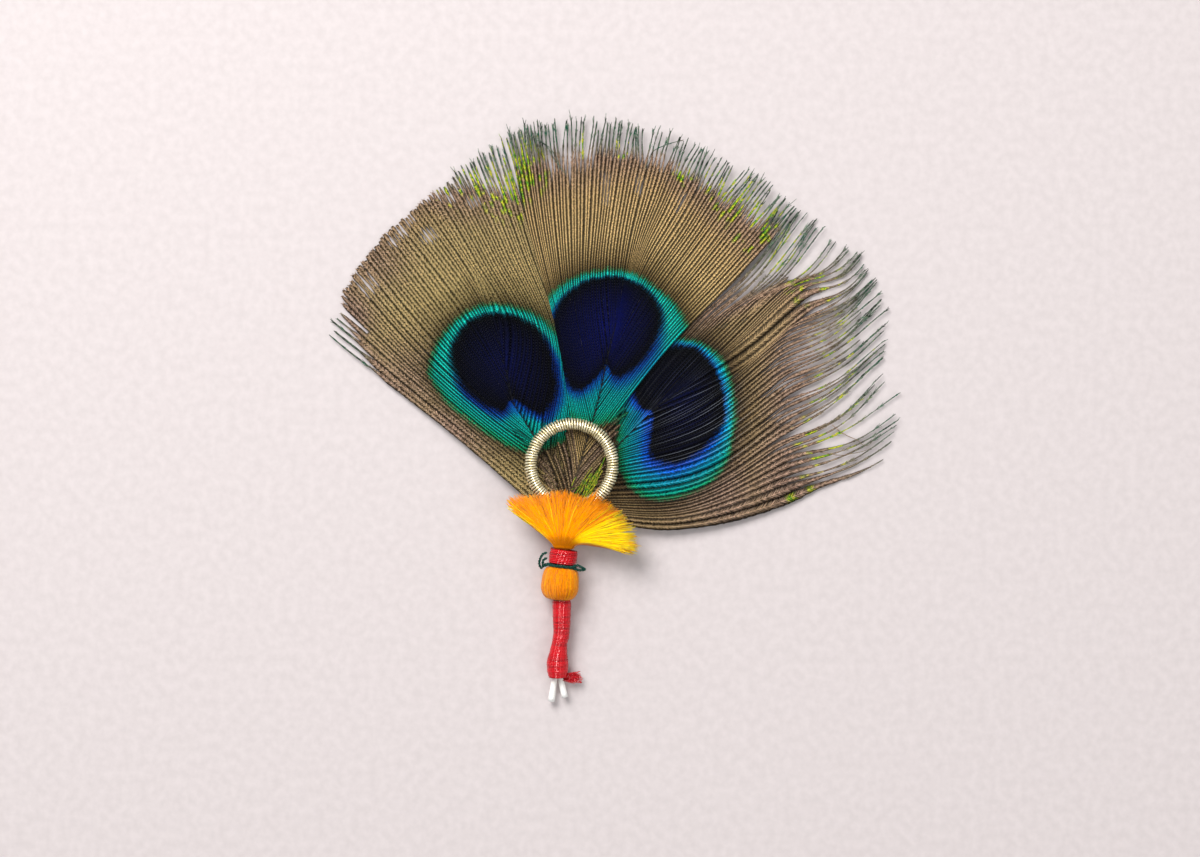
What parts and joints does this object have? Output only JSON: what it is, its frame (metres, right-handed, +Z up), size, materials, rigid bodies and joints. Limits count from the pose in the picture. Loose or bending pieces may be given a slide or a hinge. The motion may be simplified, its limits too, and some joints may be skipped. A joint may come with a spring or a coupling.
{
  "type": "tied peacock feather plume",
  "caption": "Flat fan of tied peacock eye feathers with a silk tassel and thread bindings on the stem and a coiled gold wire ring lying over the foot of the fan.",
  "frame": {"origin": "on the surface the plume lies on, under the centre of its bounding box", "axes": "+Z up out of the surface, +Y from the stem towards the fan, +X to the right seen from above"},
  "size_m": [0.0978, 0.0998, 0.0065],
  "materials": {
    "feather_left": "olive bronze barbs with a teal and navy eye",
    "feather_centre": "olive bronze barbs with a teal and navy eye",
    "feather_right": "dark bronze and green barbs with a teal and navy eye",
    "gold_wire": "bright pale gold coiled wire",
    "orange_silk": "lustrous loose silk floss",
    "red_silk": "satin wound silk thread",
    "green_thread": "dark twisted sewing thread"
  },
  "bodies": {
    "root": {"feather_left": "feather_left", "feather_centre": "feather_centre", "feather_right": "feather_right", "gold_ring": "gold_wire", "silk_tassel": "orange_silk", "neck_wrap": "red_silk", "stem_wrap": "red_silk", "green_tie": "green_thread"}
  },
  "joints": []
}
